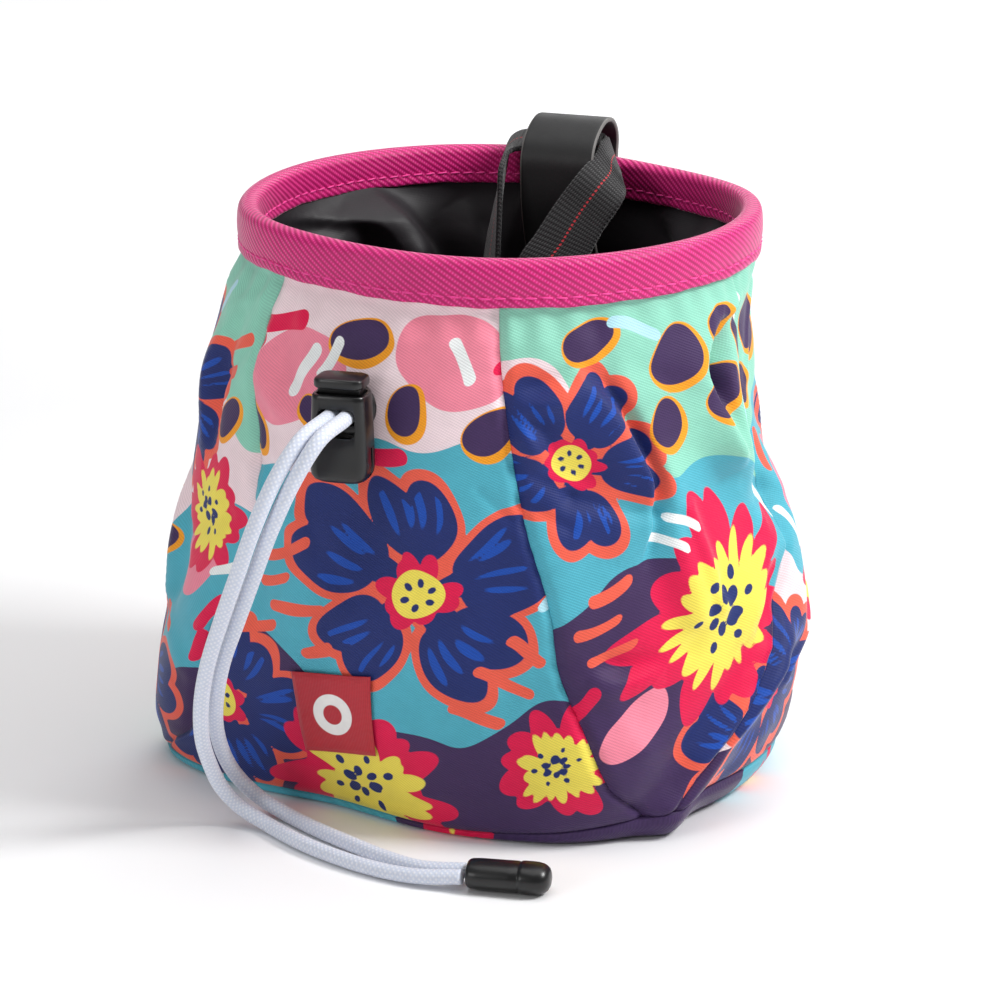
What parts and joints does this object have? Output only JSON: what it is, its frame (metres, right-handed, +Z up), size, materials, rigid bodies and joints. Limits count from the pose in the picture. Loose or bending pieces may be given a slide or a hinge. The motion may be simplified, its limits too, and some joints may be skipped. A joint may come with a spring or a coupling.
{
  "type": "climbing chalk bag",
  "caption": "Soft round climber's chalk bag with a stiff taped rim, printed cloth walls, dark lining, belt loop and waist belt, and a drawcord with a sprung cord lock.",
  "frame": {"origin": "on the floor under the middle of the bag, cord and cord lock left aside", "axes": "+Z up, the front with the cord lock faces -Y, +X to the bag's right in the picture"},
  "size_m": [0.1626, 0.1748, 0.152],
  "materials": {
    "printed_cloth": "printed polyester twill, soft sheen",
    "lining_cloth": "thin dark taffeta, slight sheen",
    "binding_tape": "magenta herringbone tape, nubby",
    "loop_band": "smooth dark coated band, satin",
    "belt_web": "ribbed dark webbing with a woven red line",
    "label_cloth": "red woven satin",
    "dark_plastic": "satin moulded plastic",
    "cord": "white braided cord"
  },
  "bodies": {
    "bag": {"panel_front": "printed_cloth", "gore_front_right": "printed_cloth", "panel_right": "printed_cloth", "gore_back": "printed_cloth", "panel_back": "printed_cloth", "gore_left": "printed_cloth", "base_panel": "printed_cloth", "lining": "lining_cloth", "rim_binding": "binding_tape", "belt_loop": "loop_band", "belt_webbing": "belt_web", "label": "label_cloth", "eyelet": "dark_plastic", "cord_lock_body": "dark_plastic", "cord_strand_outer": "cord", "cord_strand_inner": "cord", "cord_end": "dark_plastic"},
    "lock_button": {"cord_lock_button": "dark_plastic"}
  },
  "joints": [
    {"name": "lock_press", "type": "slide", "parent": "bag", "child": "lock_button", "axis": [0, 0, -1], "range_m": [0, 0.0012], "stiffness_N_per_m": 600}
  ]
}
